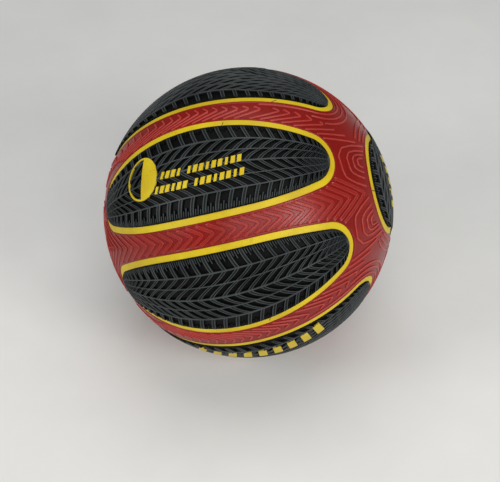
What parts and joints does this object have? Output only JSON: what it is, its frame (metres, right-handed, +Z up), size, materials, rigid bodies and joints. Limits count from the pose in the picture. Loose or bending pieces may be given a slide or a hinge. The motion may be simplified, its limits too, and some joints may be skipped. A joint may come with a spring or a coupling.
{
  "type": "rubber ball",
  "caption": "Hollow moulded rubber play ball with tyre-tread panels, flat borders and ribbed channels over a wound bladder, with a push-in inflation valve.",
  "frame": {"origin": "the ball's centre", "axes": "+Z up as the ball lies at rest, +X to the right along the front channel as seen from the front, +Y away from the front; the valve points back and down"},
  "size_m": [0.2405, 0.2408, 0.2409],
  "materials": {
    "tread_rubber": "satin",
    "channel_rubber": "satin",
    "border_rubber": "satin",
    "carcass_rubber": "matte",
    "thread": "matte",
    "butyl": "matte",
    "valve_rubber": "satin"
  },
  "bodies": {
    "root": {"bladder": "butyl", "nylon_winding": "thread", "carcass": "carcass_rubber", "channel_cover": "channel_rubber", "valve_housing": "valve_rubber", "valve_insert": "valve_rubber", "valve_right_panel": "tread_rubber", "valve_right_border": "border_rubber", "valve_left_panel": "tread_rubber", "valve_left_border": "border_rubber", "right_lobe_panel": "tread_rubber", "right_lobe_border": "border_rubber", "left_lobe_panel": "tread_rubber", "left_lobe_border": "border_rubber", "front_upper_panel": "tread_rubber", "front_upper_border": "border_rubber", "front_lower_panel": "tread_rubber", "front_lower_border": "border_rubber", "top_lobe_panel": "tread_rubber", "top_lobe_border": "border_rubber", "bottom_lobe_panel": "tread_rubber", "bottom_lobe_border": "border_rubber"}
  },
  "joints": []
}
